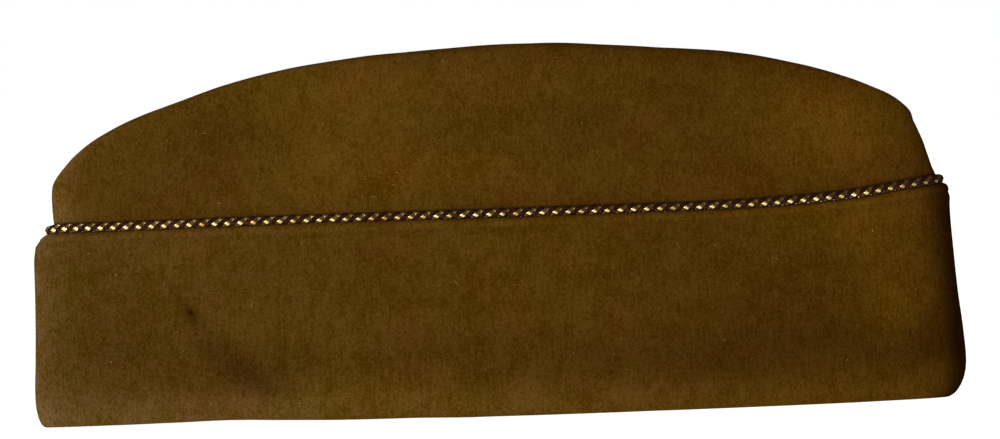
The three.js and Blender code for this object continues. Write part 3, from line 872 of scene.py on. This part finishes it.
# Gilt metal thread: a flat gilt wire wound on a silk core. It shines like gold leaf where it faces the
# light; painted shade turns it dark brown where it faces up and near the back seam. It is worn to a duller
# tone in places.
# Bronze silk and dark silk: fine twisted yarn, dull gold and near black with a warm brown cast. It is
# soft to the eye, with only a little lustre along its fibres.
# Metal, the colours of clean and worn thread and of its painted shade, its least and most roughness, and
# the sizes of a worn patch and of a yarn.
THREADS = {
    "gold": ("gilt_metal_thread", 1.0, "FFEDA2", "B68F48", "3A2609", 0.26, 0.42, 5.0, 0.22),
    "bronze": ("bronze_twisted_silk", 0.0, "5E4420", "35240F", "2A1C0C", 0.7, 0.8, 5.0, 0.4),
    "dark": ("dark_twisted_silk", 0.0, "100500", "401E0E", "1C0A03", 0.7, 0.8, 0.8, 0.4),
}


SPECULAR_LEVEL = {"silk": 0.04, "metal": 0.5}
PATCH_EDGES = (0.38, 0.68)  # where in the noise a patch starts to be worn, and is all worn
YARN_RELIEF = {"Strength": 0.4, "Distance": 0.06 * MM}


def piping_thread(name, metallic, clean, worn, shade_colour, smooth, rough, patch, yarn):
    thread = bpy.data.materials.new(name)
    thread.use_nodes = True
    tree = thread.node_tree
    surface = tree.nodes["Principled BSDF"]
    surface.inputs["Metallic"].default_value = metallic
    surface.inputs["Specular IOR Level"].default_value = SPECULAR_LEVEL["metal" if metallic else "silk"]
    place = add_node(tree, "ShaderNodeTexCoord").outputs["Object"]
    wear = add_node(tree, "ShaderNodeTexNoise", {"Scale": 1 / (patch * MM), "Detail": 2}, {"Vector": place})
    level = add_node(
        tree, "ShaderNodeMapRange", {"From Min": PATCH_EDGES[0], "From Max": PATCH_EDGES[1]},
        {"Value": wear.outputs["Fac"]},
    ).outputs["Result"]
    colour = add_node(
        tree, "ShaderNodeMix", {"data_type": "RGBA", 6: from_hex(clean), 7: from_hex(worn)}, {0: level}
    )
    # Painted shade from the mark on the strands, mixed towards the shade colour.
    painted_shade = add_node(tree, "ShaderNodeAttribute", {"attribute_name": "painted_shade"})
    colour = add_node(
        tree, "ShaderNodeMix", {"data_type": "RGBA", 7: from_hex(shade_colour)},
        {0: painted_shade.outputs["Fac"], 6: colour.outputs[2]},
    )
    tree.links.new(colour.outputs[2], surface.inputs["Base Color"])
    gloss = add_node(tree, "ShaderNodeMapRange", {"To Min": smooth, "To Max": rough}, {"Value": level})
    tree.links.new(gloss.outputs["Result"], surface.inputs["Roughness"])
    yarns = add_node(tree, "ShaderNodeTexNoise", {"Scale": 1 / (yarn * MM), "Detail": 1}, {"Vector": place})
    bump = add_node(tree, "ShaderNodeBump", YARN_RELIEF, {"Height": yarns.outputs["Fac"]})
    tree.links.new(bump.outputs["Normal"], surface.inputs["Normal"])
    return thread


threads = {kind: piping_thread(*row) for kind, row in THREADS.items()}
for hand in ("left", "right"):
    for kind, braid in braided_piping(hand).items():
        braid.data.materials.append(threads[kind])
        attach(braid, "root")
        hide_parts(f"piping_{hand}")

# Stitches and lint. A row of machine stitches in thread of the wool's colour lies sunk in the curtain
# below the piping, and holds it. Pale hairs and lint of other cloth cling to the nap here and there.
STITCH_LENGTH = 2.1
STITCH_PITCH = 2.9
STITCH_DIAMETER = 0.3
STITCH_RINGS = 7
STITCH_SIDES = 6
STITCH_STAND_OFF = 0.04
STITCH_SINK = 0.3  # how far each end of a stitch dips into the cloth
LEAST_PLUMP = 0.05  # the section's square that is left at a stitch's ends
STITCHES_LEFT_OUT = (3, 4)  # pitches without a stitch beside the end seams


def hem_stitches(hand):
    face = curtain_faces[hand]
    along = STATIONS if hand == "left" else STATIONS[::-1]
    heights = curtain_top(along) + EDGE_LIFT - HEM_BELOW_EDGE
    line = np.array([
        [np.interp(height, column[:CURTAIN_ROWS, 2], column[:CURTAIN_ROWS, i]) for i in range(3)]
        for column, height in zip(face, heights)
    ])
    length = np.concatenate([[0], np.cumsum(np.linalg.norm(np.diff(line, axis=0), axis=1))])
    tubes = []
    first, last = STITCHES_LEFT_OUT
    for start in np.arange(first * STITCH_PITCH, length[-1] - last * STITCH_PITCH, STITCH_PITCH):
        share = np.linspace(0, 1, STITCH_RINGS)
        at = start + STITCH_LENGTH * share
        centre = np.stack([np.interp(at, length, line[:, i]) for i in range(3)], axis=1)
        ahead = centre[-1] - centre[0]
        ahead /= np.linalg.norm(ahead)
        out = np.cross(ahead, (0, 0, 1.0))
        out *= np.sign(out[1]) * (-1 if hand == "left" else 1)
        towards_end = (2 * share - 1) ** 4
        centre = centre + out * (STITCH_STAND_OFF - STITCH_SINK * towards_end)[:, None]
        plump = np.sqrt(np.clip(1 - towards_end, LEAST_PLUMP, 1))
        out_way, up_way = (way * plump[:, None] for way in (out, np.cross(ahead, out)))
        tubes.append(strand_tube(centre, out_way, up_way, STITCH_DIAMETER, STITCH_DIAMETER, STITCH_SIDES))
    return joined_tubes(f"hem_stitches_{hand}", tubes, False)


HAIRS_ON_A_FACE = 60
HAIR_DIAMETER = 0.1  # drawn about three times as thick as a real hair, so that it shows
HAIR_THICKER = (0.7, 1.5)
HAIR_STEPS = 6
HAIR_SIDES = 4
HAIR_LENGTH = (0.35, 0.5)  # the shortest, and how much longer they are on average
HAIR_BEND = 0.25
HAIR_LIFT = (0.1, 0.12)  # how far they stand off the nap, and how much more in the middle at most
HAIRS_FROM_SEAMS = 0.03
HAIR_ROWS = {"crown": (HIDDEN_ROWS + PIPING_ROWS, SIDE_ROWS), "curtain": (8, CURTAIN_ROWS - 6)}


def lint_hairs(hand, seed):
    """Hairs that lie on the nap in gentle bends, most of them short."""
    draw = np.random.default_rng(seed)
    tubes = []
    for key, face in (("crown", crown_faces[hand]), ("curtain", curtain_faces[hand])):
        ways = np.cross(np.gradient(face, axis=0), np.gradient(face, axis=1))
        ways /= np.maximum(np.linalg.norm(ways, axis=2, keepdims=True), TINY)
        for _ in range(HAIRS_ON_A_FACE):
            share = draw.uniform(HAIRS_FROM_SEAMS, 1 - HAIRS_FROM_SEAMS)
            column = int(np.searchsorted(STATIONS, share))
            row = int(draw.integers(*HAIR_ROWS[key]))
            out = ways[column, row]
            first = np.cross(out, (0, 0, 1.0))
            first /= np.linalg.norm(first)
            second = np.cross(out, first)
            heading = draw.uniform(0, np.pi)
            run = first * math.cos(heading) + second * math.sin(heading)
            aside = np.cross(out, run)
            reach = HAIR_LENGTH[0] + draw.exponential(HAIR_LENGTH[1])
            s = np.linspace(-0.5, 0.5, HAIR_STEPS)[:, None]
            bend = draw.normal(0, HAIR_BEND) * reach
            lifted = HAIR_LIFT[0] + draw.uniform(0, HAIR_LIFT[1]) * (0.25 - s * s) * 4
            centre = face[column, row] + run * s * reach + aside * s * s * bend + out * lifted
            ahead = np.gradient(centre, axis=0)
            ahead /= np.linalg.norm(ahead, axis=1, keepdims=True)
            across = np.cross(ahead, out)
            thick = HAIR_DIAMETER * draw.uniform(*HAIR_THICKER)
            tubes.append(strand_tube(centre, across, np.cross(across, ahead), thick, thick, HAIR_SIDES))
    return joined_tubes(f"lint_hairs_{hand}", tubes, False)


# Sewing thread is spun cotton, matt, close to the wool in colour. Lint is undyed fibre, pale and matt.
# Each has a name, the colours of its fainter and stronger spots, and a roughness.
COTTON = ("spun_cotton_thread", "382306", "452C0C", 1.0)
LINT = ("undyed_lint", "86714A", "54431F", 0.9)
FIBRE_SPOTS = 3.0
FIBRE_SPOT_EDGES = (0.4, 0.6)


def spun_fibre(name, one, other, rough):
    fibre = bpy.data.materials.new(name)
    fibre.use_nodes = True
    tree = fibre.node_tree
    surface = tree.nodes["Principled BSDF"]
    surface.inputs["Roughness"].default_value = rough
    surface.inputs["Specular IOR Level"].default_value = 0.0
    place = add_node(tree, "ShaderNodeTexCoord").outputs["Object"]
    per_metre = 1 / (FIBRE_SPOTS * MM)
    spots = add_node(tree, "ShaderNodeTexNoise", {"Scale": per_metre, "Detail": 2}, {"Vector": place})
    level = add_node(
        tree, "ShaderNodeMapRange", {"From Min": FIBRE_SPOT_EDGES[0], "From Max": FIBRE_SPOT_EDGES[1]},
        {"Value": spots.outputs["Fac"]},
    )
    colour = add_node(
        tree, "ShaderNodeMix", {"data_type": "RGBA", 6: from_hex(one), 7: from_hex(other)},
        {0: level.outputs["Result"]},
    )
    tree.links.new(colour.outputs[2], surface.inputs["Base Color"])
    return fibre


cotton = spun_fibre(*COTTON)
lint = spun_fibre(*LINT)
for hand, seed in (("left", 11), ("right", 12)):
    for piece, material in ((hem_stitches(hand), cotton), (lint_hairs(hand, seed), lint)):
        piece.data.materials.append(material)
        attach(piece, "root")

# Floor. A plain white surface that the cap stands on, which glows a little so that it stays white.
FLOOR_REACH = 12.0  # metres, so that its edge shows in no view
FLOOR_BELOW_RIM = 0.05
bpy.ops.mesh.primitive_plane_add(size=2 * FLOOR_REACH, location=(0, 0, -FLOOR_BELOW_RIM * MM))
floor = bpy.context.object
floor.name = "white_floor"
paper = bpy.data.materials.new("matt_white_paper")
paper.use_nodes = True
paper_finish = {
    "Base Color": from_hex("8A8A8A"), "Roughness": 1.0, "Specular IOR Level": 0.0,
    "Emission Color": (1, 1, 1, 1), "Emission Strength": 1.0,
}
for socket, value in paper_finish.items():
    paper.node_tree.nodes["Principled BSDF"].inputs[socket].default_value = value
floor.data.materials.append(paper)

# Light. A white surround that is brighter low on the left in front and dimmer to the right and above,
# and one large soft lamp low on the left. The surround itself is seen as plain white.
LIGHT_FROM = Vector((-0.62, -0.72, -0.3)).normalized()
SURROUND = (0.05, 1.1)  # its strength on the far side from the light and on the near side
LAMP_AT = (-0.55, -1.4, 0.05)  # metres
LAMP_AIM = (0, 0, 0.05)
LAMP_SIZE = 0.36
LAMP_WATTS = 29.4
world = bpy.data.worlds.new("white_surround")
world.use_nodes = True
tree = world.node_tree
way = add_node(tree, "ShaderNodeTexCoord").outputs["Generated"]
towards = add_node(tree, "ShaderNodeVectorMath", {"operation": "DOT_PRODUCT", 1: LIGHT_FROM}, {0: way})
glow = add_node(
    tree, "ShaderNodeMapRange", {"From Min": -1.0, "To Min": SURROUND[0], "To Max": SURROUND[1]},
    {"Value": towards.outputs["Value"]},
)
seen = add_node(tree, "ShaderNodeLightPath").outputs["Is Camera Ray"]
strength = add_node(
    tree, "ShaderNodeMix", {"data_type": "FLOAT", 3: 1.0}, {0: seen, 2: glow.outputs["Result"]}
)
tree.links.new(strength.outputs[0], tree.nodes["Background"].inputs["Strength"])
tree.nodes["Background"].inputs["Color"].default_value = (1, 1, 1, 1)
bpy.context.scene.world = world

lamp = bpy.data.lights.new("key_low_left", "AREA")
lamp.shape = "DISK"
lamp.size = LAMP_SIZE
lamp.energy = LAMP_WATTS
lamp_holder = bpy.data.objects.new("key_low_left", lamp)
lamp_holder.location = LAMP_AT
lamp_holder.rotation_euler = (Vector(LAMP_AIM) - Vector(LAMP_AT)).to_track_quat("-Z", "Y").to_euler()
lamp_holder.visible_camera = False
bpy.context.collection.objects.link(lamp_holder)

# Camera. A long lens level with the cap's side, raised a little, and turned so that the cap's base
# rises to the right as in the photo. Lengths are metres, and angles degrees.
CAMERA_DISTANCE = 1.8
CAMERA_ELEVATION = 1.0
CAMERA_ROLL = 1.95
PHOTO_WIDTH = 0.312  # how much of the cap's plane the image spans
AIM = Vector((0.0015, 0, 0.060))
SENSOR = 36.0  # millimetres, as the lens is
camera = bpy.data.cameras.new("camera")
camera.sensor_width = SENSOR
camera.lens = SENSOR * CAMERA_DISTANCE / PHOTO_WIDTH
rise, roll = math.radians(CAMERA_ELEVATION), math.radians(CAMERA_ROLL)
right = Vector((1, 0, 0))
up = Vector((0, math.sin(rise), math.cos(rise)))
back = Vector((0, -math.cos(rise), math.sin(rise)))
rolled_right = right * math.cos(roll) - up * math.sin(roll)
rolled_up = right * math.sin(roll) + up * math.cos(roll)
holder = bpy.data.objects.new("camera", camera)
turn = Matrix((rolled_right, rolled_up, back)).transposed()
holder.matrix_world = Matrix.Translation(AIM + back * CAMERA_DISTANCE) @ turn.to_4x4()
bpy.context.collection.objects.link(holder)
bpy.context.scene.camera = holder
bpy.context.scene.view_settings.view_transform = "Standard"
